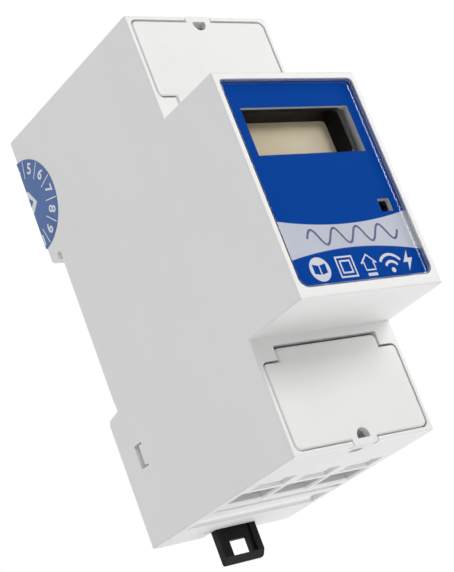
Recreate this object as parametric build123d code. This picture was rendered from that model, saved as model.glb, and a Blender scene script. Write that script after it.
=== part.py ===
from build123d import *
import math
import os

# Rail-mounted single-phase electricity meter, two modules wide, in millimetres.
# Frame: +Z up, front face towards -Y, +X to the right seen from the front.
# Origin: centre of the seat that rests on the front of a 35 mm top-hat rail.

os.makedirs("parts", exist_ok=True)

# ---- driving dimensions -------------------------------------------------------------------

MODULE = 17.5                 # width of one rail module
HALF_W = MODULE               # two modules wide
HALF_H = 45.0
NOSE_HALF_H = 22.5
FEET_Y = 4.0                  # rear face of the feet
STEP_Y = -43.5                # front of the terminal steps
NOSE_Y = -59.5                # front of the nose
WALL = 1.5
INNER_X = HALF_W - WALL
EDGE_R = 0.4

# rail recess
SEAT_HALF_H = 15.9
SLOT_RELIEF = 0.15            # the lip slots lie this much in front of the seat
HOOK_TOP_Z = 17.8
HOOK_TIP_Z = 16.4
HOOK_LIP_Y = 1.25
FOOT_TOP_Z = -17.8

# seam between the housing and the base on the top and bottom faces
HOUSING_END_Y = -16.6
BASE_START_Y = -14.8
BASE_LIP_Y = -16.5
SEAM_DEPTH = 0.8
GROOVE_Y = (-12.0, -6.5)
GROOVE_DEPTH = 0.9
BASE_FIT = 0.05               # base to side wall, each side

# front plate and display
LENS_HALF_W = 16.3
LENS_Z = (-20.4, 21.1)
LENS_T = 1.5
FILM_T = 0.1
FILM_GAP = 0.05               # air between the front plate and the film
FILM_MARGIN = 0.05            # front plate beyond the film, each side
LENS_GAP = 0.03
LENS_BEVEL = 0.3
FRONT_WALL_T = 2.1
FRONT_WALL_Y = NOSE_Y + LENS_T + FILM_GAP + FILM_T
FRONT_WALL_BACK = FRONT_WALL_Y + FRONT_WALL_T
WINDOW_W, WINDOW_H = 26.3, 9.8
WINDOW_Z = 10.65
LED_WINDOW_W, LED_WINDOW_H = 3.0, 2.65
LED_X, LED_Z = 12.25, -5.6
BOARD_POST_R = 1.2
BOARD_POST_X, BOARD_POST_Z = 13.4, (-18.0, 18.6)
BEZEL_T = 2.25
BEZEL_HALF_W, BEZEL_H = 14.6, 13.0
BEZEL_CORNER_R = 0.8
RIM_Y = FRONT_WALL_Y + 0.6    # front of the bezel's rim, inside the window of the front wall
RIM_X = (-13.1, 12.05)        # the rim is open on the left, where the display goes on
RIM_TOP_GAP = 0.05
RIM_R = 1.2
RIM_CREST_R = 0.25
LCD_X, LCD_W, LCD_H = -1.45, 23.9, 8.4    # part of the display cell that shows
THROAT_TAPER = 3.0            # degrees
GLASS_T = 1.1
GLASS_HALF_W, GLASS_H = 13.6, 12.4
STRIP_T = 1.6
DIFFUSER_T = 1.0
SHROUD_Y = FRONT_WALL_Y + 1.0 # front of the black shroud in the optical window
SHROUD_FIT = 0.05             # shroud to window, each side
SHROUD_BORE_R = 1.0
SHROUD_BLOCK_W, SHROUD_BLOCK_H = 4.6, 4.4
SHROUD_BLOCK_Y = (FRONT_WALL_BACK, FRONT_WALL_BACK + 4.3)
SHROUD_WEB_W, SHROUD_WEB_T = 4.0, 1.0
LED_R = 1.5
LED_CLEARANCE = 0.1
LED_DOME_Y = FRONT_WALL_BACK + 1.85

# terminal covers
COVER_HALF_W = 16.35
COVER_Z = (27.35, 43.9)
TONGUE_HALF_W = 12.45
TONGUE_Z = 24.65
FRAME_Z = 24.2                # frame edge next to the hinge
COVER_T = 1.4
COVER_GAP = 0.28
COVER_CORNER_R = 1.3          # corners at the outer edge
COVER_SHOULDER_R = 1.0        # corners beside the hinge
COVER_EDGE_R = 0.4
COVER_BACK_CHAMFER = COVER_T - 0.2
TAB_HALF_W = 3.0
SEAL_HOLE_R = 1.55
SEAL_HOLE_Z = (43.85, 41.9)   # flat side towards the outer edge
OUTLET_HALF_W, OUTLET_Y = 1.5, (-41.0, -39.2)
HINGE_Y, HINGE_Z = -42.2, 26.0
HINGE_BARREL_R = 0.8
HINGE_PIN_R = 0.6
HINGE_CLEARANCE = 0.06
EAR_Z = 27.0
EAR_BACK_Y = -40.8

# terminals
PITCH = 11.0
COLUMNS = {"left": -PITCH, "middle": 0.0, "right": PITCH}
ROWS = {"upper": 1, "lower": -1}
ENTRY_W = 9.3
ENTRY_Y = (-24.7, -18.5)
ENTRY_BEVEL = 0.35
SCOOP_R, SCOOP_DEPTH, SCOOP_W = 2.6, 0.7, 8.0
SCOOP_Y = (ENTRY_Y[0] - 6.3, ENTRY_Y[0] - 1.6)
SCREW_Z = 36.0
BLOCK_Z = (27.2, 43.4)
BLOCK_Y = (-41.95, -15.1)
BLOCK_HEEL_Z = 42.6           # the rear of the block stands inside the base
CHAMBER_W = 8.9
CHAMBER_Y = (-36.2, -16.6)
CHAMBER_END_Z = 41.2
CAGE_W, CAGE_LEN = 8.7, 9.0
CAGE_Y = (-30.5, -17.0)
CAGE_FRONT_T, CAGE_REAR_T, CAGE_SIDE_T = 2.5, 1.5, 0.8
CAGE_HOLE_R = 3.0
SCREW_R = 2.95
SCREW_TIP_Y = -26.7
SCREW_CLEARANCE = 0.25
HEAD_R = 3.5
HEAD_Y = (-41.0, -37.5)
RECESS_W, RECESS_SPAN, RECESS_DEPTH = 1.1, 5.0, 1.9
SEAL_POCKET_HALF_W, SEAL_POCKET_Y, SEAL_POCKET_Z = 1.8, -39.0, 42.3
BAR_Y = (-26.2, -24.7)
BAR_W = 6.0
BAR_END_Z = 40.6

# rail clip
CLIP_HALF_W = 5.0
CLIP_Y = (-0.5, 3.2)
CLIP_BOTTOM_Z = -52.1
PULL_Y = (-0.5, 1.2)          # the pull is thinner than the slide
PULL_TOP_Z = -43.6
PULL_SLOPE = (1.1, 1.4)       # depth and height of the sloping lower front edge
PULL_RECESS_HALF_W, PULL_RECESS_DEPTH = 3.4, 0.4
PULL_HOLE_HALF_W, PULL_HOLE_Z = 2.4, (-50.7, -47.5)
CLIP_LIP_Z = -16.2
CLIP_SLACK = 0.15
CLIP_STROKE = 4.5
GUIDE_X = 6.0
GUIDE_Y = (0.9, 1.9)
GUIDE_Z = (-40.0, -22.5)
POST_Z = (-38.0, -36.0)
CLIP_WINDOW_HALF_W = 2.3
CLIP_WINDOW_TOP_Z = -25.5
SPRING_AXIS_Y = 1.3
SPRING_R = 1.35
SPRING_WIRE_R = 0.22
SPRING_TURNS = 8

# snap tabs that hold the base, one pair above and one below the rail
SNAP_Y = (-3.85, -1.35)
SNAP_Z = (25.7, 30.5)

# boards
DISPLAY_BOARD_Y = (-50.0, -48.4)
DISPLAY_BOARD_HALF_W, DISPLAY_BOARD_Z = 15.3, (-20.2, 20.4)
MAIN_BOARD_Y = (-31.0, -29.4)
MAIN_BOARD_HALF_W, MAIN_BOARD_HALF_H = 15.4, 25.5
HEADER_X, HEADER_Z = (-3.0, 13.0), (-19.6, -17.1)
HEADER_T = 2.5
PIN_PITCH, PIN_W, PINS = 2.54, 0.64, 6

# components on the front of the main board
RADIO_X, RADIO_Z = (-14.6, 0.4), (-4.0, 20.0)
RADIO_T = 0.8
CAN_X, CAN_Z = (-13.6, -0.6), (-3.2, 12.8)
CAN_T = 2.2
CORE_X, CORE_Z = (-14.0, -5.2), (-23.2, -8.2)
CORE_HEIGHT = (1.0, 10.0)
FORMER_X, FORMER_Z = (-13.0, -6.2), (-20.7, -10.7)
FORMER_T = 11.0
CAPACITOR_X, CAPACITOR_Z = 8.2, (15.4, 4.4)
CAPACITOR_R, CAPACITOR_LEN = 5.0, 12.0
ARRESTER_X, ARRESTER_Z = (6.0, 10.0), -8.0
ARRESTER_R, ARRESTER_HEIGHT = 5.0, 6.6
ARRESTER_LEG_W, ARRESTER_LEG_T, ARRESTER_LEG_SPAN = 1.2, 0.8, 5.2

# current transformer and relay behind the main board
CT_X, CT_Y = -8.1, -15.75
CT_Z = (8.0, 18.0)
CT_OUTER_R, CT_INNER_R = 6.2, 3.6
RELAY_X, RELAY_Y, RELAY_Z = (-14.3, -2.5), (MAIN_BOARD_Y[1], -13.4), (-22.0, 2.0)
PHASE_BEND_Z = 22.5
DROP_W = 5.0                  # phase bar where it passes through the transformer
CONTACT_END_Z = -24.0

# verification sticker
STICKER_R = 9.9
STICKER_Y, STICKER_Z = 4.5, 30.05
STICKER_T = 0.1


# ---- helpers ------------------------------------------------------------------------------

def brick(x, y, z):
    """A box given by its low and high limit on each axis."""
    size = [high - low for low, high in (x, y, z)]
    centre = [(high + low) / 2 for low, high in (x, y, z)]
    return Pos(*centre) * Box(*size)


def centred(half):
    """The limits of a span centred on zero."""
    return (-half, half)


def about(middle, size):
    """The limits of a span of the given size about its middle."""
    return (middle - size / 2, middle + size / 2)


def ordered(a, b):
    return (min(a, b), max(a, b))


def side_prism(points, half_width):
    """An outline in the YZ plane, extruded to both sides of X = 0."""
    outline = Polyline([(0, y, z) for y, z in points], close=True)
    return extrude(make_face(outline), amount=half_width, dir=(1, 0, 0), both=True)


def rod_y(x, z, y, radius):
    """A round bar along Y between the two limits."""
    middle = (y[0] + y[1]) / 2
    return Pos(x, middle, z) * Rot(90, 0, 0) * Cylinder(radius, y[1] - y[0])


def rod_x(y, z, x, radius):
    """A round bar along X between the two limits."""
    middle = (x[0] + x[1]) / 2
    return Pos(middle, y, z) * Rot(0, 90, 0) * Cylinder(radius, x[1] - x[0])


def edges_along(shape, axis, test):
    """The edges parallel to an axis whose centre passes the test."""
    return [edge for edge in shape.edges().filter_by(axis) if test(edge.center())]


def rounded_plate(x, y, z, radius):
    """A plate facing Y with its four corners rounded."""
    plate = brick(x, y, z)
    return fillet(plate.edges().filter_by(Axis.Y), radius)


def save(name, shape):
    """Write one node to its own STEP file."""
    export_step(shape, "parts/" + name + ".step")


# ---- housing and base -----------------------------------------------------------------------

def rear_outline():
    """Rail side of the outline, from the upper foot down to the lower foot."""
    return [
        (FEET_Y, HOOK_TIP_Z + 0.9),
        (FEET_Y - 0.9, HOOK_TIP_Z),
        (HOOK_LIP_Y, HOOK_TIP_Z),
        (HOOK_LIP_Y, HOOK_TOP_Z),
        (-SLOT_RELIEF, HOOK_TOP_Z),
        (-SLOT_RELIEF, SEAT_HALF_H),
        (0.0, SEAT_HALF_H),
        (0.0, -SEAT_HALF_H),
        (-SLOT_RELIEF, -SEAT_HALF_H),
        (-SLOT_RELIEF, FOOT_TOP_Z),
        (FEET_Y - 0.9, FOOT_TOP_Z - 0.55),
        (FEET_Y, FOOT_TOP_Z - 1.6),
    ]


def housing_outline():
    """Side view of the whole meter."""
    return [
        (FEET_Y, -HALF_H),
        (STEP_Y, -HALF_H),
        (STEP_Y, -NOSE_HALF_H),
        (NOSE_Y, -NOSE_HALF_H),
        (NOSE_Y, NOSE_HALF_H),
        (STEP_Y, NOSE_HALF_H),
        (STEP_Y, HALF_H),
        (FEET_Y, HALF_H),
    ] + rear_outline()


def housing_skin():
    """The outside of the housing as a solid, with its moulded edge radii."""
    solid = side_prism(housing_outline(), HALF_W)

    def outer_edge(p):
        return abs(p.Z) > HALF_H - 0.1 or p.Y < NOSE_Y + 0.1

    solid = fillet(edges_along(solid, Axis.X, outer_edge), EDGE_R)

    def front_side_edge(e):
        p = e.center()
        on_side = abs(abs(p.X) - HALF_W) < 0.01
        return on_side and (p.Y < NOSE_Y + EDGE_R + 0.05 or abs(p.Z) > HALF_H - EDGE_R - 0.05)

    return fillet([e for e in solid.edges() if front_side_edge(e)], EDGE_R * 0.75)


def housing_cavity():
    """Everything inside the walls, open to the rear for the base."""
    half_h = HALF_H - WALL
    step = brick(centred(INNER_X), (STEP_Y + WALL, FEET_Y + 1), centred(half_h))
    nose = brick(centred(INNER_X), (FRONT_WALL_BACK, STEP_Y + WALL), centred(NOSE_HALF_H - WALL))
    rear = brick(centred(INNER_X), (HOUSING_END_Y, FEET_Y + 1), centred(HALF_H + 1))
    return step + nose + rear


def cover_outline(y, inner, grow):
    """Wide part of the lower terminal cover, up to its inner edge, with round corners."""
    outer = -COVER_Z[1] - grow
    plate = brick(centred(COVER_HALF_W + grow), y, (outer, inner))
    plate = fillet(edges_along(plate, Axis.Y, lambda p: p.Z < inner - 1), COVER_CORNER_R + grow)
    return fillet(edges_along(plate, Axis.Y, lambda p: p.Z > inner - 0.1), COVER_SHOULDER_R + grow)


def cover_tongue(y, half_w, inner_z):
    """Narrow part of the lower cover, which runs to the hinge between the ears."""
    return brick(centred(half_w), y, (-COVER_Z[0] - 2, inner_z))


def cover_opening():
    """Opening in the lower step face, a gap wider than the cover all round."""
    y = (STEP_Y - 1, STEP_Y + WALL)
    opening = cover_outline(y, -EAR_Z, COVER_GAP)
    opening += cover_tongue(y, TONGUE_HALF_W + COVER_GAP, -FRAME_Z)
    notch = brick(centred(TAB_HALF_W + COVER_GAP), y, (-HALF_H - 1, -COVER_Z[1] + 1))
    return opening + notch


def hinge_ears():
    """Two ears beside the lower cover's tongue, which hold its pins."""
    left, right = [
        brick(ordered(side * (TONGUE_HALF_W + COVER_GAP), side * (INNER_X + 0.2)),
              (STEP_Y, EAR_BACK_Y), (-EAR_Z, -FRAME_Z + 0.5))
        for side in (-1, 1)
    ]
    return left + right


def hinge_holes():
    """The blind holes for the lower cover's pins, as one bar through both ears."""
    half_w = TONGUE_HALF_W + COVER_GAP + 1.6
    return rod_x(HINGE_Y, -HINGE_Z, centred(half_w), HINGE_PIN_R + HINGE_CLEARANCE)


def wire_entry(x):
    """One lower wire entry through the end wall, with its shallow lead-in scoop."""
    through = brick(about(x, ENTRY_W), ENTRY_Y, (-HALF_H - 1, -HALF_H + WALL + 0.5))
    mouth = Rectangle(ENTRY_W + 2 * ENTRY_BEVEL, ENTRY_Y[1] - ENTRY_Y[0] + 2 * ENTRY_BEVEL)
    mouth = Pos(x, sum(ENTRY_Y) / 2, -HALF_H) * mouth
    through += extrude(mouth, amount=2 * ENTRY_BEVEL, taper=45)
    scoop = rod_x(sum(SCOOP_Y) / 2, -HALF_H, about(x, SCOOP_W), SCOOP_R)
    scoop &= brick(about(x, SCOOP_W), SCOOP_Y, (-HALF_H - 1, -HALF_H + SCOOP_DEPTH))
    return through + scoop


def seal_outlet():
    """Hole in the bottom face where the seal wire of the lower cover comes out."""
    hole = brick(centred(OUTLET_HALF_W), OUTLET_Y, (-HALF_H - 1, -HALF_H + WALL + 0.5))
    return fillet(hole.edges().filter_by(Axis.Z), 0.6)


def snap_window(side, level):
    """Hole in a side wall that shows the snap tab of the base."""
    x = ordered(side * (INNER_X - 0.5), side * (HALF_W + 1))
    z = ordered(level * SNAP_Z[0], level * SNAP_Z[1])
    return brick(x, SNAP_Y, z)


def board_post(x, z):
    """Post behind the front wall that carries the display board."""
    return rod_y(x, z, (FRONT_WALL_BACK - 0.3, DISPLAY_BOARD_Y[0]), BOARD_POST_R)


def front_housing():
    """White shell: nose, step faces and both side walls back to the rail side."""
    body = housing_skin() - housing_cavity()

    lens_x = centred(LENS_HALF_W + LENS_GAP)
    lens_z = (LENS_Z[0] - LENS_GAP, LENS_Z[1] + LENS_GAP)
    body -= lens_shape(lens_x, (NOSE_Y - 1, FRONT_WALL_Y), lens_z)
    window_y = (NOSE_Y, FRONT_WALL_BACK + 1)
    body -= brick(centred(WINDOW_W / 2), window_y, about(WINDOW_Z, WINDOW_H))
    body -= brick(about(LED_X, LED_WINDOW_W), window_y, about(LED_Z, LED_WINDOW_H))

    lower_cuts = cover_opening() + seal_outlet()
    for x in COLUMNS.values():
        lower_cuts += wire_entry(x)
    body -= lower_cuts
    body -= mirror(lower_cuts, about=Plane.XY)
    ears = hinge_ears()
    body += ears
    body += mirror(ears, about=Plane.XY)
    holes = hinge_holes()
    body -= holes
    body -= mirror(holes, about=Plane.XY)

    for side in (-1, 1):
        for level in (-1, 1):
            body -= snap_window(side, level)
    for x in centred(BOARD_POST_X):
        for z in BOARD_POST_Z:
            body += board_post(x, z)
    return body


def foot_pockets():
    """Coring of the two feet from inside the base."""
    upper = brick(centred(13.5), (-3.0, FEET_Y - WALL), (HOOK_TOP_Z + 2.6, HALF_H - 3.5))
    lower = None
    for side in (-1, 1):
        x = ordered(side * (GUIDE_X + 2.0), side * 13.5)
        pocket = brick(x, (-3.0, FEET_Y - WALL), (-HALF_H + 3.5, FOOT_TOP_Z - 3.2))
        lower = pocket if lower is None else lower + pocket
    return upper + lower


def clip_channel():
    """Channel in the lower foot that guides the rail clip, open to the rear."""
    half_w = CLIP_HALF_W + CLIP_SLACK
    floor_y = CLIP_Y[0] - CLIP_SLACK
    channel = brick(centred(half_w), (floor_y, FEET_Y + 1), (-HALF_H - 1, FOOT_TOP_Z + 3.0))
    y = (GUIDE_Y[0] - CLIP_SLACK, GUIDE_Y[1] + CLIP_SLACK)
    z = (GUIDE_Z[0] - CLIP_STROKE - 0.3, FOOT_TOP_Z + 3.0)
    return channel + brick(centred(GUIDE_X + CLIP_SLACK), y, z)


def snap_tab(side, level):
    """Wedge on the side of the base that clicks into a housing window."""
    x = ordered(side * (INNER_X - BASE_FIT - 0.2), side * (HALF_W - 0.1))
    y = (SNAP_Y[0] + 0.03, SNAP_Y[1] - 0.45)
    z = ordered(level * (SNAP_Z[0] + 0.4), level * (SNAP_Z[1] - 0.4))
    tab = brick(x, y, z)
    outer = edges_along(tab, Axis.Z, lambda p: abs(p.X) > HALF_W - 0.2 and p.Y > SNAP_Y[1] - 0.6)
    return chamfer(outer, 0.9)


def end_groove():
    """Wide groove across the bottom face of the base, with a curved rear side."""
    groove = brick(centred(HALF_W), GROOVE_Y, (-HALF_H - 1, -HALF_H + GROOVE_DEPTH))
    rear = edges_along(groove, Axis.X, lambda p: p.Y > GROOVE_Y[1] - 0.1 and p.Z > -HALF_H)
    return fillet(rear, GROOVE_DEPTH * 0.9)


def rear_base():
    """Tub that closes the rear: rail recess, fixed hook, clip channel and snap tabs."""
    half_w = INNER_X - BASE_FIT
    outline = [(FEET_Y, -HALF_H), (BASE_START_Y, -HALF_H), (BASE_START_Y, HALF_H), (FEET_Y, HALF_H)]
    body = side_prism(outline + rear_outline(), half_w)

    lip_z = HALF_H - SEAM_DEPTH
    body += brick(centred(half_w), (BASE_LIP_Y, BASE_START_Y + 0.5), centred(lip_z))
    body -= brick(centred(half_w - WALL), (HOUSING_END_Y - 1, -2.2), centred(HALF_H - 2.2))
    body -= foot_pockets()
    body -= clip_channel()
    groove = end_groove()
    body -= groove
    body -= mirror(groove, about=Plane.XY)

    for side in (-1, 1):
        for level in (-1, 1):
            body += snap_tab(side, level)
    post_y = (CLIP_Y[0] - CLIP_SLACK - 0.3, 2.9)
    return body + brick(centred(CLIP_WINDOW_HALF_W - 0.3), post_y, POST_Z)


# ---- front plate and display ------------------------------------------------------------------

def lens_shape(x, y, z):
    """Front plate outline: tight upper corners and rounder lower corners."""
    plate = brick(x, y, z)
    plate = fillet(edges_along(plate, Axis.Y, lambda p: p.Z > 0), 1.0)
    return fillet(edges_along(plate, Axis.Y, lambda p: p.Z < 0), 2.0)


def faceplate_lens():
    """Clear plate over the label and display, with a bevelled front edge."""
    lens = lens_shape(centred(LENS_HALF_W), (NOSE_Y, NOSE_Y + LENS_T), LENS_Z)
    front = [e for e in lens.edges() if e.center().Y < NOSE_Y + 0.01]
    return chamfer(front, LENS_BEVEL)


def faceplate_label():
    """Printed film behind the lens, cut out at the display and the optical window."""
    y = (FRONT_WALL_Y - FILM_T, FRONT_WALL_Y)
    film_z = (LENS_Z[0] + FILM_MARGIN, LENS_Z[1] - FILM_MARGIN)
    film = lens_shape(centred(LENS_HALF_W - FILM_MARGIN), y, film_z)
    cut_y = (y[0] - 1, y[1] + 1)
    film -= brick(centred(WINDOW_W / 2), cut_y, about(WINDOW_Z, WINDOW_H))
    return film - brick(about(LED_X, LED_WINDOW_W), cut_y, about(LED_Z, LED_WINDOW_H))


def display_throat():
    """Tapered opening of the bezel, from the front of its rim to the display cell."""
    depth = FRONT_WALL_BACK + BEZEL_T - RIM_Y
    flare = 2 * depth * math.tan(math.radians(THROAT_TAPER))
    plane = Plane(origin=(LCD_X, RIM_Y, WINDOW_Z), x_dir=(1, 0, 0), z_dir=(0, 1, 0))
    mouth = plane * Rectangle(LCD_W + flare, LCD_H + flare)
    mouth = fillet(mouth.vertices().sort_by(Axis.X)[-2:], RIM_R - 0.2)
    return extrude(mouth, amount=depth, taper=THROAT_TAPER)


def led_shroud():
    """Black block behind the optical window, bored for the diode, with a web to the bezel."""
    plug_x = about(LED_X, LED_WINDOW_W - 2 * SHROUD_FIT)
    plug_z = about(LED_Z, LED_WINDOW_H - 2 * SHROUD_FIT)
    shroud = brick(plug_x, (SHROUD_Y, FRONT_WALL_BACK + 0.5), plug_z)
    shroud += brick(about(LED_X, SHROUD_BLOCK_W), SHROUD_BLOCK_Y, about(LED_Z, SHROUD_BLOCK_H))
    web_y = (FRONT_WALL_BACK, FRONT_WALL_BACK + SHROUD_WEB_T)
    shroud += brick(about(LED_X, SHROUD_WEB_W), web_y, (LED_Z, WINDOW_Z - BEZEL_H / 2 + 0.5))
    shroud -= rod_y(LED_X, LED_Z, (SHROUD_Y - 1, DISPLAY_BOARD_Y[0]), SHROUD_BORE_R)
    seat_y = (FRONT_WALL_BACK + 0.15, DISPLAY_BOARD_Y[0])
    return shroud - rod_y(LED_X, LED_Z, seat_y, LED_R + LED_CLEARANCE)


def lcd_bezel():
    """Black frame round the display, its rim standing in the window of the front wall."""
    y = (FRONT_WALL_BACK, FRONT_WALL_BACK + BEZEL_T)
    frame = rounded_plate(centred(BEZEL_HALF_W), y, about(WINDOW_Z, BEZEL_H), BEZEL_CORNER_R)
    rim = brick(RIM_X, (RIM_Y, y[0] + 0.5), about(WINDOW_Z, WINDOW_H - 2 * RIM_TOP_GAP))
    frame += fillet(edges_along(rim, Axis.Y, lambda p: p.X > 0), RIM_R)
    frame -= display_throat()

    def crest(p):
        within_x = RIM_X[0] + 0.4 < p.X < RIM_X[1] - 0.6
        within_z = abs(p.Z - WINDOW_Z) < LCD_H / 2 + 0.3
        return p.Y < RIM_Y + 0.01 and within_x and within_z

    frame = fillet([e for e in frame.edges() if crest(e.center())], RIM_CREST_R)
    return frame + led_shroud()


def glass_y():
    """Front and rear face of the display cell."""
    front = FRONT_WALL_BACK + BEZEL_T
    return (front, front + GLASS_T)


def lcd_glass():
    """Display cell behind the bezel."""
    return brick(centred(GLASS_HALF_W), glass_y(), about(WINDOW_Z, GLASS_H))


def lcd_backlight():
    """Diffuser plate behind the display cell."""
    y = (glass_y()[1], glass_y()[1] + DIFFUSER_T)
    return brick(centred(GLASS_HALF_W - 1.0), y, about(WINDOW_Z, LCD_H))


def lcd_contact_strips():
    """Two rubber strips that join the display cell to its board."""
    strips = []
    for edge in (-1, 1):
        z = about(WINDOW_Z + edge * (LCD_H + GLASS_H) / 4, STRIP_T)
        strips.append(brick(centred(GLASS_HALF_W - 1.2), (glass_y()[1], DISPLAY_BOARD_Y[0]), z))
    return Compound(strips)


def status_led():
    """Tinted 3 mm optical diode with its collar on the display board."""
    collar_y = (DISPLAY_BOARD_Y[0] - 1.0, DISPLAY_BOARD_Y[0])
    collar = rod_y(LED_X, LED_Z, collar_y, LED_R + 0.4)
    barrel = rod_y(LED_X, LED_Z, (LED_DOME_Y, collar_y[0]), LED_R)
    dome = Pos(LED_X, LED_DOME_Y, LED_Z) * Sphere(LED_R)
    return collar + barrel + dome


# ---- terminal covers --------------------------------------------------------------------------

def seal_hole():
    """D-shaped hole for the seal wire, flat side towards the outer edge."""
    y = (STEP_Y - 1, STEP_Y + 3)
    disc = rod_y(0, -SEAL_HOLE_Z[1] - SEAL_HOLE_R, y, SEAL_HOLE_R)
    return disc & brick(centred(SEAL_HOLE_R), y, (-SEAL_HOLE_Z[0], -SEAL_HOLE_Z[1] + 1))


def cover_plate(y):
    """The lower cover's plate with its tongue and its rounded front edges."""
    shoulder_z = -COVER_Z[0]

    def front_edges(shape, low_z, high_z):
        return [e for e in shape.edges()
                if e.center().Y < y[0] + 0.01 and low_z < e.center().Z < high_z]

    plate = cover_outline(y, shoulder_z, 0.0)
    plate = fillet(front_edges(plate, -HALF_H, shoulder_z - 0.1), COVER_EDGE_R)
    plate -= side_prism([
        (y[1] - COVER_BACK_CHAMFER, shoulder_z),
        (y[1], shoulder_z - COVER_BACK_CHAMFER),
        (y[1] + 1, shoulder_z - COVER_BACK_CHAMFER),
        (y[1] + 1, shoulder_z + 1),
        (y[1] - COVER_BACK_CHAMFER, shoulder_z + 1),
    ], HALF_W)
    tongue = cover_tongue(y, TONGUE_HALF_W, -TONGUE_Z)
    corners = edges_along(tongue, Axis.Y, lambda p: p.Z > -TONGUE_Z - 0.1)
    tongue = fillet(corners, COVER_SHOULDER_R)
    free_end = front_edges(tongue, -TONGUE_Z - COVER_SHOULDER_R, 0.0)
    return plate + fillet(free_end, HINGE_BARREL_R - 0.1)


def terminal_cover():
    """Lower terminal cover with hinge barrel, pins, seal tab and seal hole."""
    y = (STEP_Y, STEP_Y + COVER_T)
    cover = cover_plate(y)
    cover += rod_x(HINGE_Y, -HINGE_Z, centred(TONGUE_HALF_W), HINGE_BARREL_R)
    cover += rod_x(HINGE_Y, -HINGE_Z, centred(TONGUE_HALF_W + 1.3), HINGE_PIN_R)
    tab = brick(centred(TAB_HALF_W), y, (-HALF_H, -COVER_Z[1] + 1))
    cover += fillet(edges_along(tab, Axis.Y, lambda p: p.Z < -HALF_H + 0.1), 0.5)
    return cover - seal_hole()


# ---- terminals --------------------------------------------------------------------------------

def terminal_chamber(x):
    """Space for one lower clamp: cage chamber, wire entry and stepped screw hole."""
    chamber = brick(about(x, CHAMBER_W), CHAMBER_Y, (-CHAMBER_END_Z, -BLOCK_Z[0] + 1))
    entry = brick(about(x, CHAMBER_W), ENTRY_Y, (-BLOCK_Z[1] - 1, -CHAMBER_END_Z + 1))
    shank_hole = rod_y(x, -SCREW_Z, (BLOCK_Y[0] - 1, CHAMBER_Y[0] + 1), SCREW_R + SCREW_CLEARANCE)
    head_hole = rod_y(x, -SCREW_Z, (BLOCK_Y[0] - 1, HEAD_Y[1] + 0.05), HEAD_R + 0.2)
    return chamber + entry + shank_hole + head_hole


def terminal_block():
    """Lower moulded block with three clamp chambers and a pocket for the seal wire."""
    block = brick(centred(INNER_X - 0.05), (BLOCK_Y[0], BASE_LIP_Y - 0.1), (-BLOCK_Z[1], -BLOCK_Z[0]))
    heel_half_w = INNER_X - BASE_FIT - WALL - 0.1
    block += brick(centred(heel_half_w), (BASE_LIP_Y - 0.1, BLOCK_Y[1]), (-BLOCK_HEEL_Z, -BLOCK_Z[0]))
    for x in COLUMNS.values():
        block -= terminal_chamber(x)
    pocket_z = (-BLOCK_Z[1] - 1, -SEAL_POCKET_Z)
    return block - brick(centred(SEAL_POCKET_HALF_W), (BLOCK_Y[0] - 1, SEAL_POCKET_Y), pocket_z)


def terminal_screw(x):
    """Lower clamp screw: cheese head with a cross recess, shank and pointed tip."""
    head = rod_y(x, -SCREW_Z, HEAD_Y, HEAD_R)
    head = chamfer([e for e in head.edges() if e.center().Y < HEAD_Y[0] + 0.01], 0.4)
    shank = rod_y(x, -SCREW_Z, (HEAD_Y[1], SCREW_TIP_Y), SCREW_R)
    shank = chamfer([e for e in shank.edges() if e.center().Y > SCREW_TIP_Y - 0.01], 0.7)
    recess_y = (HEAD_Y[0] - 1, HEAD_Y[0] + RECESS_DEPTH)
    slot = brick(about(x, RECESS_SPAN), recess_y, about(-SCREW_Z, RECESS_W))
    cross = brick(about(x, RECESS_W), recess_y, about(-SCREW_Z, RECESS_SPAN))
    return head + shank - slot - cross


def clamp_cage(x):
    """Lower rising cage: thick front with the screw hole, thin sides and a flat floor."""
    cage = brick(about(x, CAGE_W), CAGE_Y, about(-SCREW_Z, CAGE_LEN))
    cage = fillet(cage.edges().filter_by(Axis.Z), 0.6)
    inner_y = (CAGE_Y[0] + CAGE_FRONT_T, CAGE_Y[1] - CAGE_REAR_T)
    inside = brick(about(x, CAGE_W - 2 * CAGE_SIDE_T), inner_y, about(-SCREW_Z, CAGE_LEN + 2))
    cage -= inside
    return cage - rod_y(x, -SCREW_Z, (CAGE_Y[0] - 1, inner_y[0] + 1), CAGE_HOLE_R)


def bar(x, z):
    """Flat copper bar behind the main board."""
    return brick(about(x, BAR_W), BAR_Y, z)


def phase_bar_in():
    """Incoming phase bar: upper left clamp, back behind the clamps, through the transformer."""
    x = COLUMNS["left"]
    thick = BAR_Y[1] - BAR_Y[0]
    rear_y = CT_Y + thick / 2
    bend_z = (PHASE_BEND_Z, PHASE_BEND_Z + thick)
    riser = brick((x - BAR_W / 2, CT_X + DROP_W / 2), (BAR_Y[0], rear_y), bend_z)
    drop = brick(about(CT_X, DROP_W), (rear_y - thick, rear_y), (RELAY_Z[1], bend_z[1]))
    return bar(x, (PHASE_BEND_Z, BAR_END_Z)) + riser + drop


def middle_contact():
    """Lower middle contact bar, with its pin to the main board."""
    pin = brick(centred(0.8), (MAIN_BOARD_Y[1], BAR_Y[0]), (CONTACT_END_Z - 1.0, CONTACT_END_Z))
    return bar(0.0, (-BAR_END_Z, CONTACT_END_Z)) + pin


# ---- inside parts -------------------------------------------------------------------------------

def current_transformer():
    """Potted ring core round the incoming phase bar."""
    ring = Cylinder(CT_OUTER_R, CT_Z[1] - CT_Z[0])
    ring = fillet(ring.edges(), 0.8)
    ring -= Cylinder(CT_INNER_R, 20.0)
    return Pos(CT_X, CT_Y, sum(CT_Z) / 2) * ring


def relay():
    """Power relay behind the main board."""
    body = brick(RELAY_X, RELAY_Y, RELAY_Z)
    return fillet(edges_along(body, Axis.Z, lambda p: p.Y > RELAY_Y[1] - 0.1), 0.8)


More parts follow.
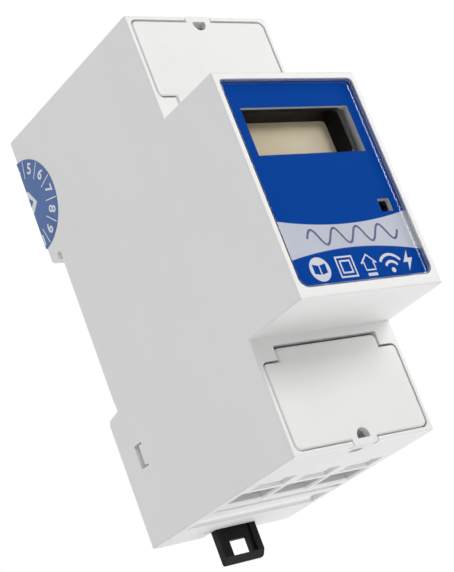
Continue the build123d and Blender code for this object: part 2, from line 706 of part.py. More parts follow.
def main_board():
    """Mains and measuring board with clipped corners."""
    y = MAIN_BOARD_Y
    board = brick(centred(MAIN_BOARD_HALF_W), y, centred(MAIN_BOARD_HALF_H))
    return chamfer(board.edges().filter_by(Axis.Y), 1.0)


def display_board():
    """Board behind the display, held on the posts of the housing."""
    board = brick(centred(DISPLAY_BOARD_HALF_W), DISPLAY_BOARD_Y, DISPLAY_BOARD_Z)
    return chamfer(board.edges().filter_by(Axis.Y), 0.8)


def board_connector():
    """Pin header between the two boards."""
    y = (DISPLAY_BOARD_Y[1], MAIN_BOARD_Y[0])
    header = brick(HEADER_X, (y[1] - HEADER_T, y[1]), HEADER_Z)
    header += brick(HEADER_X, (y[0], y[0] + HEADER_T), HEADER_Z)
    middle_x = sum(HEADER_X) / 2
    middle_z = sum(HEADER_Z) / 2
    for pin in range(PINS):
        x = middle_x + (pin - (PINS - 1) / 2) * PIN_PITCH
        header += brick(about(x, PIN_W), y, about(middle_z, PIN_W))
    return header


def wifi_module():
    """Radio module: thin carrier with a raised shield can."""
    front = MAIN_BOARD_Y[0]
    carrier = brick(RADIO_X, (front - RADIO_T, front), RADIO_Z)
    return carrier + rounded_plate(CAN_X, (front - RADIO_T - CAN_T, front - RADIO_T), CAN_Z, 0.6)


def supply_transformer():
    """Small transformer of the power supply: coil former with a ferrite core round it."""
    front = MAIN_BOARD_Y[0]
    core = brick(CORE_X, (front - CORE_HEIGHT[1], front - CORE_HEIGHT[0]), CORE_Z)
    return core + brick(FORMER_X, (front - FORMER_T, front), FORMER_Z)


def supply_capacitors():
    """Two upright electrolytic capacitors."""
    front = MAIN_BOARD_Y[0]
    cans = []
    top = front - CAPACITOR_LEN
    for z in CAPACITOR_Z:
        can = rod_y(CAPACITOR_X, z, (top, front), CAPACITOR_R)
        cans.append(fillet([e for e in can.edges() if e.center().Y < top + 0.5], 0.6))
    return Compound(cans)


def surge_arrester():
    """Varistor disc standing on the main board."""
    front = MAIN_BOARD_Y[0]
    disc = rod_x(front - ARRESTER_HEIGHT, ARRESTER_Z, ARRESTER_X, ARRESTER_R)
    arrester = fillet(disc.edges(), 0.8)
    leg_x = about(sum(ARRESTER_X) / 2, ARRESTER_LEG_W)
    for leg_z in about(ARRESTER_Z, ARRESTER_LEG_SPAN):
        arrester += brick(leg_x, (front - 3.0, front), about(leg_z, ARRESTER_LEG_T))
    return arrester


def verification_sticker():
    """Round sticker folded over the left rear edge, across the seam of housing and base."""
    on_side = rod_x(STICKER_Y, STICKER_Z, (-HALF_W - STICKER_T, -HALF_W), STICKER_R)
    on_side &= brick((-HALF_W - 1, -HALF_W + 1), (-20.0, FEET_Y + STICKER_T), (0.0, HALF_H))
    fold_x = -HALF_W - STICKER_T
    centre_x = fold_x - (STICKER_Y - FEET_Y)
    on_back = rod_y(centre_x, STICKER_Z, (FEET_Y, FEET_Y + STICKER_T), STICKER_R)
    on_back &= brick((fold_x, 0.0), (FEET_Y - 1, FEET_Y + 1), (0.0, HALF_H))
    return on_side + on_back


# ---- rail clip ------------------------------------------------------------------------------------

def clip_hook():
    """Lip behind the rail's lower edge, with a sloping back that rides over the rail."""
    points = [
        (HOOK_LIP_Y, FOOT_TOP_Z - 2),
        (HOOK_LIP_Y, CLIP_LIP_Z),
        (HOOK_LIP_Y + 0.7, CLIP_LIP_Z),
        (CLIP_Y[1], FOOT_TOP_Z - 0.4),
        (CLIP_Y[1], FOOT_TOP_Z - 2),
    ]
    return side_prism(points, CLIP_HALF_W)


def clip_pull():
    """Thin lower end of the clip: sloping edge, shallow recess and a square screwdriver hole."""
    slope_y, slope_z = PULL_SLOPE
    points = [
        (PULL_Y[0], PULL_TOP_Z + 1),
        (PULL_Y[0], CLIP_BOTTOM_Z + slope_z),
        (PULL_Y[0] + slope_y, CLIP_BOTTOM_Z),
        (PULL_Y[1], CLIP_BOTTOM_Z),
        (PULL_Y[1], PULL_TOP_Z + 1),
    ]
    pull = side_prism(points, CLIP_HALF_W)

    def bottom_corner(e):
        p = e.center()
        return p.Z < CLIP_BOTTOM_Z + slope_z and abs(p.X) > CLIP_HALF_W - 0.1 and e.length < 1.0

    pull = fillet([e for e in pull.edges() if bottom_corner(e)], 0.5)
    recess_y = (PULL_Y[0] - 1, PULL_Y[0] + PULL_RECESS_DEPTH)
    pull -= brick(centred(PULL_RECESS_HALF_W), recess_y, (PULL_HOLE_Z[0], PULL_TOP_Z - 0.6))
    return pull - brick(centred(PULL_HOLE_HALF_W), (PULL_Y[0] - 1, PULL_Y[1] + 1), PULL_HOLE_Z)


def rail_clip():
    """Black slide that grips the rail, with spring window and screwdriver pull."""
    body = brick(centred(CLIP_HALF_W), CLIP_Y, (PULL_TOP_Z, FOOT_TOP_Z - 0.1))
    body += clip_hook()
    body += brick(centred(GUIDE_X), GUIDE_Y, GUIDE_Z)
    window_z = (POST_Z[0] - 0.2, CLIP_WINDOW_TOP_Z)
    body -= brick(centred(CLIP_WINDOW_HALF_W), (CLIP_Y[0] - 1, CLIP_Y[1] + 1), window_z)
    return body + clip_pull()


def rail_clip_spring():
    """Compression spring between the post of the base and the top of the clip's window."""
    wire_end = SPRING_WIRE_R + 0.02
    low = POST_Z[1] + wire_end
    high = CLIP_WINDOW_TOP_Z - wire_end
    path = Helix(pitch=(high - low) / SPRING_TURNS, height=high - low, radius=SPRING_R)
    section = Plane(origin=path @ 0, z_dir=path % 0) * Circle(SPRING_WIRE_R)
    return Pos(0, SPRING_AXIS_Y, low) * sweep(section, path=path)


# ---- write every node -------------------------------------------------------------------------------

def by_row(lower_shape, level):
    """The lower piece itself, or its mirror image for the upper row."""
    return lower_shape if level < 0 else mirror(lower_shape, about=Plane.XY)


def write_terminals():
    """The moving and fixed pieces that repeat above and below the nose."""
    block = terminal_block()
    cover = terminal_cover()
    contact = middle_contact()
    for row, level in ROWS.items():
        save("terminal_block_" + row, by_row(block, level))
        save(row + "_terminal_cover", by_row(cover, level))
        save("middle_contact_" + row, by_row(contact, level))
        for column, x in COLUMNS.items():
            save("terminal_screw_" + row + "_" + column, by_row(terminal_screw(x), level))
            save("clamp_cage_" + row + "_" + column, by_row(clamp_cage(x), level))


SINGLE_PIECES = {
    "front_housing": front_housing,
    "rear_base": rear_base,
    "faceplate_lens": faceplate_lens,
    "faceplate_label": faceplate_label,
    "lcd_bezel": lcd_bezel,
    "lcd_glass": lcd_glass,
    "lcd_backlight": lcd_backlight,
    "lcd_contact_strips": lcd_contact_strips,
    "status_led": status_led,
    "display_board": display_board,
    "main_board": main_board,
    "board_connector": board_connector,
    "wifi_module": wifi_module,
    "supply_transformer": supply_transformer,
    "supply_capacitors": supply_capacitors,
    "surge_arrester": surge_arrester,
    "relay": relay,
    "current_transformer": current_transformer,
    "phase_bar_in": phase_bar_in,
    "verification_sticker": verification_sticker,
    "rail_clip": rail_clip,
    "rail_clip_spring": rail_clip_spring,
}

for node, make in SINGLE_PIECES.items():
    save(node, make())
save("phase_bar_out", bar(COLUMNS["left"], (-BAR_END_Z, RELAY_Z[0])))
save("neutral_bar", bar(COLUMNS["right"], centred(BAR_END_Z)))
write_terminals()
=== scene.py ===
import bmesh
import bpy
import math
from mathutils import Matrix, Vector


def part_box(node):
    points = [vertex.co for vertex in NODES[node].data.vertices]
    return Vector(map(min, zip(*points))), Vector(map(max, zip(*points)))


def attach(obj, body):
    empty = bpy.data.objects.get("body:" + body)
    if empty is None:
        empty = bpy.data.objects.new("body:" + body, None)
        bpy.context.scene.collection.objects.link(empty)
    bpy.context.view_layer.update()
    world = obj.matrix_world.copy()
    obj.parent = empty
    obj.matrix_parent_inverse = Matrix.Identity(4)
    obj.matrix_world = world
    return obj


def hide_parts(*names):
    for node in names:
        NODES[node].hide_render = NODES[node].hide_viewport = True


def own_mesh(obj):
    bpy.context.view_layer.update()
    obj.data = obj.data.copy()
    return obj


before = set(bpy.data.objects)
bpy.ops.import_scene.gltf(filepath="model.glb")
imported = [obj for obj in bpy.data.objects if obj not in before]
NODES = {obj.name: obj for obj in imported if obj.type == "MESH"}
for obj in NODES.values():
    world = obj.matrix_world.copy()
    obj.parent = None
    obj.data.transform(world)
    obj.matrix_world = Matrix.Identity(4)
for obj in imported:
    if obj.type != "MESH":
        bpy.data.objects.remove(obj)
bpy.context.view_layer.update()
MM = 0.001
ROOT = "meter"


# ---- places read from the frame -----------------------------------------------------------

FILM_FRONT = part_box("faceplate_label")[0].y
STICKER_LOW, STICKER_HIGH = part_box("verification_sticker")
PRINT_T = 0.015 * MM          # thickness of a layer of ink


# ---- node helpers -------------------------------------------------------------------------

def srgb(red, green, blue):
    """Linear colour of a screen colour given as 0 to 255."""
    def linear(c):
        """One channel of it."""
        c /= 255
        return c / 12.92 if c <= 0.04045 else ((c + 0.055) / 1.055) ** 2.4
    return (linear(red), linear(green), linear(blue), 1.0)


def shaded(color, factor):
    """A colour made darker or lighter by a factor, no lighter than white."""
    return tuple(min(1.0, c * factor) for c in color[:3]) + (1.0,)


def material(name, color, roughness, metallic=0.0, **sockets):
    """A Principled material with its plain sockets set, and its node tree and shader."""
    made = bpy.data.materials.new(name)
    made.use_nodes = True
    tree = made.node_tree
    bsdf = tree.nodes["Principled BSDF"]
    bsdf.inputs["Base Color"].default_value = color
    bsdf.inputs["Roughness"].default_value = roughness
    bsdf.inputs["Metallic"].default_value = metallic
    for socket, value in sockets.items():
        bsdf.inputs[socket.replace("_", " ")].default_value = value
    made.diffuse_color = color
    return made, tree, bsdf


def where(tree):
    """Places on the object in metres, the same for every piece."""
    return tree.nodes.new("ShaderNodeTexCoord").outputs["Object"]


def noise(tree, scale, detail=3.0, stretch=None):
    """Noise over the object; stretch scales each axis, for brushed or drawn grain."""
    node = tree.nodes.new("ShaderNodeTexNoise")
    node.inputs["Scale"].default_value = scale
    node.inputs["Detail"].default_value = detail
    source = where(tree)
    if stretch:
        mapping = tree.nodes.new("ShaderNodeMapping")
        mapping.inputs["Scale"].default_value = stretch
        tree.links.new(source, mapping.inputs["Vector"])
        source = mapping.outputs["Vector"]
    tree.links.new(source, node.inputs["Vector"])
    return node.outputs["Fac"]


def remap(tree, value, low, high, out_low, out_high):
    """Maps a value from one range to another, clamped."""
    node = tree.nodes.new("ShaderNodeMapRange")
    ends = {"From Min": low, "From Max": high, "To Min": out_low, "To Max": out_high}
    for socket, number in ends.items():
        node.inputs[socket].default_value = number
    tree.links.new(value, node.inputs["Value"])
    return node.outputs["Result"]


def calc(tree, operation, first, second=None):
    """One step of arithmetic on sockets or numbers."""
    node = tree.nodes.new("ShaderNodeMath")
    node.operation = operation
    for slot, value in zip(node.inputs, (first, second)):
        if value is None:
            continue
        if isinstance(value, (int, float)):
            slot.default_value = value
        else:
            tree.links.new(value, slot)
    return node.outputs["Value"]


def blend_color(tree, factor, first, second):
    """Mix of two colours, each a colour or a socket."""
    node = tree.nodes.new("ShaderNodeMix")
    node.data_type = "RGBA"
    tree.links.new(factor, node.inputs[0])
    for slot, value in ((node.inputs[6], first), (node.inputs[7], second)):
        if isinstance(value, tuple):
            slot.default_value = value
        else:
            tree.links.new(value, slot)
    return node.outputs[2]


def add_bump(tree, bsdf, height, distance, strength=1.0, under=None):
    """Bump in metres of height; under is the bump it lies on."""
    node = tree.nodes.new("ShaderNodeBump")
    node.inputs["Strength"].default_value = strength
    node.inputs["Distance"].default_value = distance
    tree.links.new(height, node.inputs["Height"])
    if under is not None:
        tree.links.new(under, node.inputs["Normal"])
    tree.links.new(node.outputs["Normal"], bsdf.inputs["Normal"])
    return node.outputs["Normal"]


def split_xyz(tree):
    """The place on the object as separate x, y and z."""
    node = tree.nodes.new("ShaderNodeSeparateXYZ")
    tree.links.new(where(tree), node.inputs["Vector"])
    return node.outputs["X"], node.outputs["Y"], node.outputs["Z"]


def facing(tree, direction, target):
    """How squarely a direction points at a target: 1 straight at it, 0 across."""
    node = tree.nodes.new("ShaderNodeVectorMath")
    node.operation = "DOT_PRODUCT"
    tree.links.new(direction, node.inputs[0])
    node.inputs[1].default_value = Vector(target).normalized()
    return node.outputs["Value"]


# ---- materials ----------------------------------------------------------------------------

GLOSS_SPREAD = 0.08           # how far the roughness of a moulding strays from its mean


def moulded_plastic(name, color, roughness, grain_mm=0.22, depth_mm=0.006, **sockets):
    """Injection moulding: spark-eroded grain, faint flow shading and uneven gloss."""
    made, tree, bsdf = material(name, color, roughness, IOR=1.53, **sockets)
    flow = noise(tree, 55.0, 2.0, (1.0, 1.0, 0.35))
    tint = remap(tree, flow, 0.3, 0.7, 0.0, 1.0)
    base = blend_color(tree, tint, shaded(color, 0.972), color)
    speck = remap(tree, noise(tree, 2600.0, 2.0), 0.62, 0.8, 0.0, 0.05)
    base = blend_color(tree, speck, base, shaded(color, 0.8))
    tree.links.new(base, bsdf.inputs["Base Color"])
    least, most = roughness - GLOSS_SPREAD, roughness + GLOSS_SPREAD
    gloss = remap(tree, noise(tree, 420.0, 4.0), 0.3, 0.7, least, most)
    tree.links.new(gloss, bsdf.inputs["Roughness"])
    slow = add_bump(tree, bsdf, flow, 0.02 * MM, 0.6)
    fine = noise(tree, 1.0 / (grain_mm * MM), 2.5)
    add_bump(tree, bsdf, fine, depth_mm * MM, 1.0, slow)
    return made


def clear_polycarbonate():
    """The front plate: polished faces with hairline scratches, and finely matt edges."""
    made, tree, bsdf = material(
        "clear_polycarbonate", (0.985, 0.99, 1.0, 1.0), 0.01,
        IOR=1.49, Transmission_Weight=1.0)
    hairs = noise(tree, 260.0, 2.0, (1.0, 1.0, 22.0))
    marks = remap(tree, hairs, 0.7, 0.78, 0.0, 0.03)
    normal = tree.nodes.new("ShaderNodeTexCoord").outputs["Normal"]
    towards_face = calc(tree, "ABSOLUTE", facing(tree, normal, (0, 1, 0)))
    edge = remap(tree, towards_face, 0.8, 0.95, 0.4, 0.0)
    tree.links.new(calc(tree, "MAXIMUM", marks, edge), bsdf.inputs["Roughness"])
    let_light_through(tree, bsdf, (0.92, 0.92, 0.92, 1.0))
    return made


def let_light_through(tree, bsdf, tint):
    """Lets lamp light and bounced light pass straight through a clear piece, not bent."""
    path = tree.nodes.new("ShaderNodeLightPath")
    passing = calc(tree, "MAXIMUM", path.outputs["Is Shadow Ray"], path.outputs["Is Diffuse Ray"])
    clear = tree.nodes.new("ShaderNodeBsdfTransparent")
    clear.inputs["Color"].default_value = tint
    both = tree.nodes.new("ShaderNodeMixShader")
    tree.links.new(passing, both.inputs["Fac"])
    tree.links.new(bsdf.outputs["BSDF"], both.inputs[1])
    tree.links.new(clear.outputs["BSDF"], both.inputs[2])
    tree.links.new(both.outputs["Shader"], tree.nodes["Material Output"].inputs["Surface"])


BAND_TOP = -8.7 * MM          # lowest point of the pale band's upper edge
BAND_BOTTOM = -13.35 * MM     # highest point of its lower edge
BAND_CURVE = 6.3              # how fast both edges bend away, per metre


def printed_film():
    """Royal blue print with a pale band that widens towards both sides."""
    blue, pale = srgb(0, 74, 172), srgb(226, 230, 243)
    made, tree, bsdf = material("printed_film", blue, 0.6, IOR=1.5, Specular_IOR_Level=0.02)
    across, _, up = split_xyz(tree)
    bend = calc(tree, "MULTIPLY", calc(tree, "MULTIPLY", across, across), BAND_CURVE)
    below_top = calc(tree, "SUBTRACT", calc(tree, "ADD", bend, BAND_TOP), up)
    above_bottom = calc(tree, "SUBTRACT", up, calc(tree, "SUBTRACT", BAND_BOTTOM, bend))
    inside = calc(tree, "MINIMUM", below_top, above_bottom)
    band = remap(tree, inside, -0.03 * MM, 0.03 * MM, 0.0, 1.0)
    grain = remap(tree, noise(tree, 5200.0, 1.0), 0.35, 0.65, 0.0, 1.0)
    blue_ink = blend_color(tree, grain, blue, shaded(blue, 1.1))
    cloud = remap(tree, noise(tree, 70.0, 2.0), 0.3, 0.7, 0.0, 1.0)
    pale_ink = blend_color(tree, cloud, pale, shaded(pale, 0.95))
    tree.links.new(blend_color(tree, band, blue_ink, pale_ink), bsdf.inputs["Base Color"])
    add_bump(tree, bsdf, noise(tree, 3000.0, 2.0), 0.003 * MM, 0.5)
    return made


def ink(name, color):
    """A layer of print, slightly uneven."""
    made, tree, bsdf = material(name, color, 0.35, IOR=1.5)
    cover = remap(tree, noise(tree, 4200.0, 2.0), 0.3, 0.7, 0.0, 1.0)
    tree.links.new(blend_color(tree, cover, shaded(color, 0.93), color), bsdf.inputs["Base Color"])
    add_bump(tree, bsdf, noise(tree, 6000.0, 2.0), 0.002 * MM, 0.5)
    return made


def display_cell():
    """Switched-off display: grey-beige film with faint patches, and painted light and shade that make
    it lighter towards the lower right and darker towards the upper left.
    """
    base, painted_light_color = srgb(200, 183, 148), srgb(255, 240, 206)
    made, tree, bsdf = material("display_cell", base, 0.3, IOR=1.5, Specular_IOR_Level=0.3)
    patch = remap(tree, noise(tree, 150.0, 3.0), 0.35, 0.65, 0.0, 1.0)
    color = blend_color(tree, patch, shaded(base, 0.95), shaded(base, 1.03))
    # painted light and shade: the colour runs from darker at the upper left to lighter at the lower
    # right, as light falling into the display's well would make it
    across, _, up = split_xyz(tree)
    corner = calc(tree, "SUBTRACT", across, up)
    side = remap(tree, corner, -24 * MM, 3 * MM, 0.0, 1.0)
    color = blend_color(tree, side, color, painted_light_color)
    dust = remap(tree, noise(tree, 900.0, 1.0), 0.72, 0.76, 0.0, 0.25)
    tree.links.new(blend_color(tree, dust, color, srgb(120, 105, 80)), bsdf.inputs["Base Color"])
    add_bump(tree, bsdf, noise(tree, 2400.0, 2.0), 0.002 * MM, 0.5)
    return made


def milky_diffuser():
    """Light guide behind the display."""
    color = srgb(226, 226, 220)
    made, tree, bsdf = material("milky_diffuser", color, 0.4, IOR=1.49)
    dots = tree.nodes.new("ShaderNodeTexVoronoi")
    dots.inputs["Scale"].default_value = 1400.0
    tree.links.new(where(tree), dots.inputs["Vector"])
    mask = remap(tree, dots.outputs["Distance"], 0.15, 0.3, 1.0, 0.0)
    tree.links.new(blend_color(tree, mask, color, srgb(246, 246, 244)), bsdf.inputs["Base Color"])
    add_bump(tree, bsdf, mask, 0.01 * MM)
    return made


def rubber_layers():
    """Contact strip: thin conducting layers across the rubber."""
    dark, rose = srgb(44, 40, 42), srgb(176, 120, 124)
    made, tree, bsdf = material("rubber_layers", rose, 0.7)
    across, _, _ = split_xyz(tree)
    wave = calc(tree, "SINE", calc(tree, "MULTIPLY", across, 2 * math.pi / (0.2 * MM)))
    mask = remap(tree, wave, -0.2, 0.2, 0.0, 1.0)
    tree.links.new(blend_color(tree, mask, dark, rose), bsdf.inputs["Base Color"])
    add_bump(tree, bsdf, noise(tree, 2500.0), 0.01 * MM)
    return made


def tinted_resin():
    """Dark clear body of the optical diode."""
    color = srgb(34, 22, 34)
    made, tree, bsdf = material(
        "tinted_resin", color, 0.08, IOR=1.55, Coat_Weight=1.0, Coat_Roughness=0.03)
    swirl = remap(tree, noise(tree, 700.0), 0.3, 0.7, 0.0, 1.0)
    tree.links.new(blend_color(tree, swirl, color, srgb(52, 30, 44)), bsdf.inputs["Base Color"])
    add_bump(tree, bsdf, noise(tree, 500.0, 1.0), 0.004 * MM)
    return made


def board_laminate():
    """Solder mask over copper tracks."""
    mask_color = srgb(18, 92, 48)
    made, tree, bsdf = material("board_laminate", mask_color, 0.32, IOR=1.55, Coat_Weight=0.4)
    tracks = tree.nodes.new("ShaderNodeTexBrick")
    tracks.inputs["Scale"].default_value = 160.0
    tracks.inputs["Mortar Size"].default_value = 0.06
    mapping = tree.nodes.new("ShaderNodeMapping")
    mapping.inputs["Rotation"].default_value = (math.pi / 2, 0, 0)
    tree.links.new(where(tree), mapping.inputs["Vector"])
    tree.links.new(mapping.outputs["Vector"], tracks.inputs["Vector"])
    copper = tracks.outputs["Fac"]
    color = blend_color(tree, copper, mask_color, shaded(mask_color, 1.7))
    tree.links.new(color, bsdf.inputs["Base Color"])
    add_bump(tree, bsdf, copper, 0.03 * MM)
    return made


def metal(name, color, roughness, stretch, scale=900.0):
    """Plated or drawn metal with directional grain and dull patches."""
    made, tree, bsdf = material(name, color, roughness, 1.0)
    lines = noise(tree, scale, 4.0, stretch)
    patch = noise(tree, 130.0, 3.0)
    mixed = calc(tree, "ADD", calc(tree, "MULTIPLY", lines, 0.6), calc(tree, "MULTIPLY", patch, 0.4))
    gloss = remap(tree, mixed, 0.35, 0.65, roughness * 0.7, roughness * 1.4)
    tree.links.new(gloss, bsdf.inputs["Roughness"])
    dull = remap(tree, patch, 0.35, 0.7, 0.0, 1.0)
    tree.links.new(blend_color(tree, dull, color, shaded(color, 0.84)), bsdf.inputs["Base Color"])
    add_bump(tree, bsdf, lines, 0.01 * MM, 0.7)
    return made


def sticker_vinyl():
    """Blue sticker, a little faded and scuffed."""
    color = srgb(62, 100, 166)
    made, tree, bsdf = material("sticker_vinyl", color, 0.42, IOR=1.48)
    fade = remap(tree, noise(tree, 260.0, 3.0), 0.3, 0.7, 0.0, 1.0)
    base = blend_color(tree, fade, color, srgb(74, 110, 172))
    scuff = remap(tree, noise(tree, 1500.0, 4.0, (1.0, 1.0, 3.0)), 0.66, 0.74, 0.0, 0.35)
    tree.links.new(blend_color(tree, scuff, base, srgb(150, 172, 208)), bsdf.inputs["Base Color"])
    add_bump(tree, bsdf, noise(tree, 900.0, 3.0), 0.006 * MM)
    return made


WHITE = srgb(240, 240, 239)
BLACK = srgb(17, 17, 18)


def dress_nodes():
    """Gives every CAD node its finish."""
    housing = moulded_plastic("housing_plastic", WHITE, 0.46)
    cover = moulded_plastic("cover_plastic", srgb(236, 236, 235), 0.42, 0.3)
    block = moulded_plastic("block_plastic", srgb(196, 196, 199), 0.5, 0.3)
    black = moulded_plastic("black_plastic", BLACK, 0.45, 0.25, 0.008, Specular_IOR_Level=0.15)
    dark = moulded_plastic("dark_case", srgb(40, 40, 43), 0.34)
    zinc = metal("zinc_steel", srgb(196, 198, 202), 0.3, (1.0, 5.0, 1.0))
    tin = metal("tinned_copper", srgb(206, 198, 184), 0.34, (1.0, 1.0, 6.0))
    laminate = board_laminate()
    looks = {
        "front_housing": housing, "rear_base": housing,
        "terminal_block_upper": block, "terminal_block_lower": block,
        "upper_terminal_cover": cover, "lower_terminal_cover": cover,
        "faceplate_lens": clear_polycarbonate(), "faceplate_label": printed_film(),
        "lcd_bezel": black, "lcd_glass": display_cell(), "lcd_backlight": milky_diffuser(),
        "lcd_contact_strips": rubber_layers(), "status_led": tinted_resin(),
        "display_board": laminate, "main_board": laminate, "board_connector": dark,
        "wifi_module": metal("tinned_can", srgb(190, 190, 186), 0.36, (6.0, 1.0, 1.0)),
        "supply_transformer": moulded_plastic("ferrite", srgb(60, 60, 62), 0.6, 0.4, 0.02),
        "supply_capacitors": moulded_plastic("capacitor_sleeve", srgb(24, 26, 60), 0.25, 0.8, 0.004),
        "surge_arrester": moulded_plastic("arrester_coat", srgb(24, 66, 150), 0.3, 0.9, 0.02),
        "relay": dark, "current_transformer": dark,
        "phase_bar_in": tin, "phase_bar_out": tin, "neutral_bar": tin,
        "middle_contact_upper": tin, "middle_contact_lower": tin,
        "verification_sticker": sticker_vinyl(), "rail_clip": black,
        "rail_clip_spring": metal("spring_steel", srgb(180, 182, 188), 0.25, (1.0, 1.0, 1.0), 2400.0),
    }
    for name, node in NODES.items():
        look = zinc if name.startswith(("terminal_screw", "clamp_cage")) else looks[name]
        node.data.materials.clear()
        node.data.materials.append(look)


# ---- flat print ---------------------------------------------------------------------------

def stroke(points, width):
    """Closed outline of a line of the given width with round ends."""
    left, right = [], []
    last = len(points) - 1
    for i, (u, v) in enumerate(points):
        before, after = points[max(i - 1, 0)], points[min(i + 1, last)]
        du, dv = after[0] - before[0], after[1] - before[1]
        size = math.hypot(du, dv)
        du, dv = du / size * width / 2, dv / size * width / 2
        left.append((u - dv, v + du))
        right.append((u + dv, v - du))
    return left + cap(points[-1], left[-1]) + right[::-1] + cap(points[0], right[0])


def cap(centre, start, steps=6):
    """The points of a half circle that closes a stroke, clockwise from its start."""
    du, dv = start[0] - centre[0], start[1] - centre[1]
    points = []
    for k in range(1, steps + 1):
        turn = -math.pi * k / (steps + 1)
        u = centre[0] + du * math.cos(turn) - dv * math.sin(turn)
        v = centre[1] + du * math.sin(turn) + dv * math.cos(turn)
        points.append((u, v))
    return points


def arc(centre, radius, start, end, steps=24):
    """Points on an arc, angles in degrees."""
    angles = [math.radians(start + (end - start) * k / steps) for k in range(steps + 1)]
    return [(centre[0] + radius * math.cos(a), centre[1] + radius * math.sin(a)) for a in angles]


def circle(centre, radius, steps=40):
    """Points round a circle, the first one not repeated."""
    return arc(centre, radius, 0, 360 * (steps - 1) / steps, steps - 1)


def rectangle(centre, width, height):
    """The four corners of a rectangle round a centre."""
    (u, v), a, b = centre, width / 2, height / 2
    return [(u - a, v - b), (u + a, v - b), (u + a, v + b), (u - a, v + b)]


def filled(loops):
    """A flat mesh bounded by loops of points in millimetres; inner loops are holes."""
    curve = bpy.data.curves.new("outline", "CURVE")
    curve.dimensions, curve.fill_mode = "2D", "BOTH"
    curve.extrude = PRINT_T / 2
    for loop in loops:
        spline = curve.splines.new("POLY")
        spline.points.add(len(loop) - 1)
        for point, (u, v) in zip(spline.points, loop):
            point.co = (u * MM, v * MM, 0.0, 1.0)
        spline.use_cyclic_u = True
    return mesh_of(curve)


def lettered(text, size, weight):
    """A flat mesh of a short text, centred on the origin, its strokes grown by a weight."""
    curve = bpy.data.curves.new("figures", "FONT")
    curve.body, curve.size = text, size * MM
    curve.offset = weight * MM
    curve.align_x, curve.align_y = "CENTER", "CENTER"
    curve.extrude = PRINT_T / 2
    return mesh_of(curve)


def mesh_of(curve):
    """The mesh of a curve, which is then removed."""
    holder = bpy.data.objects.new("holder", curve)
    bpy.context.scene.collection.objects.link(holder)
    bpy.context.view_layer.update()
    evaluated = holder.evaluated_get(bpy.context.evaluated_depsgraph_get())
    mesh = bpy.data.meshes.new_from_object(evaluated)
    bpy.data.objects.remove(holder)
    return mesh


def join(parts):
    """One bmesh of several (mesh, matrix) pairs."""
    whole = bmesh.new()
    for mesh, matrix in parts:
        first = len(whole.verts)
        whole.from_mesh(mesh)
        whole.verts.ensure_lookup_table()
        bmesh.ops.transform(whole, matrix=matrix, verts=whole.verts[first:])
    bmesh.ops.remove_doubles(whole, verts=whole.verts, dist=1e-7)
    return whole


def add_piece(name, shape, look, body):
    """Makes a piece from a bmesh, dresses it and lets it ride on a body."""
    mesh = bpy.data.meshes.new(name)
    bmesh.ops.recalc_face_normals(shape, faces=shape.faces)
    shape.to_mesh(mesh)
    shape.free()
    mesh.materials.append(look)
    piece = bpy.data.objects.new(name, mesh)
    bpy.context.scene.collection.objects.link(piece)
    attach(piece, body)
    return piece


ON_FILM = Matrix.Translation((0, FILM_FRONT - PRINT_T / 2, 0)) @ Matrix.Rotation(math.pi / 2, 4, "X")

# the marks lie in millimetres: u to the right and v up, from the middle of the film
ICON_Z = -17.0
WAVE_Z = -10.9


def film_print(name, shapes, look):
    """Print on the film's front; each shape is a list of loops."""
    parts = [(filled(loops), ON_FILM) for loops in shapes]
    return add_piece(name, join(parts), look, ROOT)


def wave_mark(look):
    """A plain alternating-current wave in the pale band."""
    left, right, turns, height, steps = -9.8, 12.4, 4, 1.55, 160
    points = []
    for k in range(steps + 1):
        share = k / steps
        u = left + (right - left) * share
        points.append((u, WAVE_Z + height * math.sin(2 * math.pi * turns * share)))
    film_print("wave_mark", [[stroke(points, 0.46)]], look)


def book_mark(look):
    """Disc with an open book cut out of it."""
    u = -9.7
    disc = circle((u, ICON_Z), 2.35)
    pages = []
    for side in (-1, 1):
        pages.append([(u + side * 0.14, ICON_Z - 1.05), (u + side * 0.14, ICON_Z + 0.75),
                      (u + side * 1.55, ICON_Z + 1.05), (u + side * 1.55, ICON_Z - 0.75)])
    film_print("book_mark", [[disc] + pages], look)


def squares_mark(look):
    """Two nested square outlines."""
    centre = (-3.4, ICON_Z)
    sizes = (4.2, 3.55, 2.6, 1.95)
    loops = [rectangle(centre, size, size) for size in sizes]
    film_print("squares_mark", [loops[:2], loops[2:]], look)


def house_mark(look):
    """Outline of a house over a short bar."""
    u = 2.2
    half, foot, eaves = 1.15, ICON_Z - 1.1, ICON_Z + 0.35
    walls = [(u - half, eaves), (u - half, foot), (u + half, foot), (u + half, eaves)]
    roof = [(u - 1.75, ICON_Z + 0.3), (u, ICON_Z + 1.95), (u + 1.75, ICON_Z + 0.3)]
    bar = rectangle((u, ICON_Z - 2.0), 2.3, 0.6)
    film_print("house_mark", [[stroke(walls, 0.34)], [stroke(roof, 0.34)], [bar]], look)


def radio_mark(look):
    """Dot with two arcs, for the radio link."""
    centre = (7.6, ICON_Z - 1.6)
    arcs = [[stroke(arc(centre, radius, 40, 140), 0.55)] for radius in (1.7, 3.1)]
    film_print("radio_mark", [[circle(centre, 0.5)]] + arcs, look)


def bolt_mark(look):
    """Lightning bolt."""
    u = 12.0
    outline = [(0.5, 2.0), (-1.3, -0.35), (-0.15, -0.35), (-0.55, -2.1), (1.3, 0.45), (0.15, 0.45)]
    film_print("bolt_mark", [[[(u + a, ICON_Z + b) for a, b in outline]]], look)


# ---- sticker print ------------------------------------------------------------------------

DIAL_Y, DIAL_Z = 4.5 * MM, (STICKER_LOW.z + STICKER_HIGH.z) / 2
FOLD_Y = STICKER_HIGH.y
FACE_X = STICKER_LOW.x
FIRST_MONTH_ANGLE = 180       # the 1 points to the rear
MONTH_STEP = -30
MONTH_RADIUS = 7.85 * MM
MONTH_SIZE, MONTH_WEIGHT = 3.2, 0.068
DIVIDER_ENDS = (6.1, 9.6)     # radii of the lines between the months, in millimetres


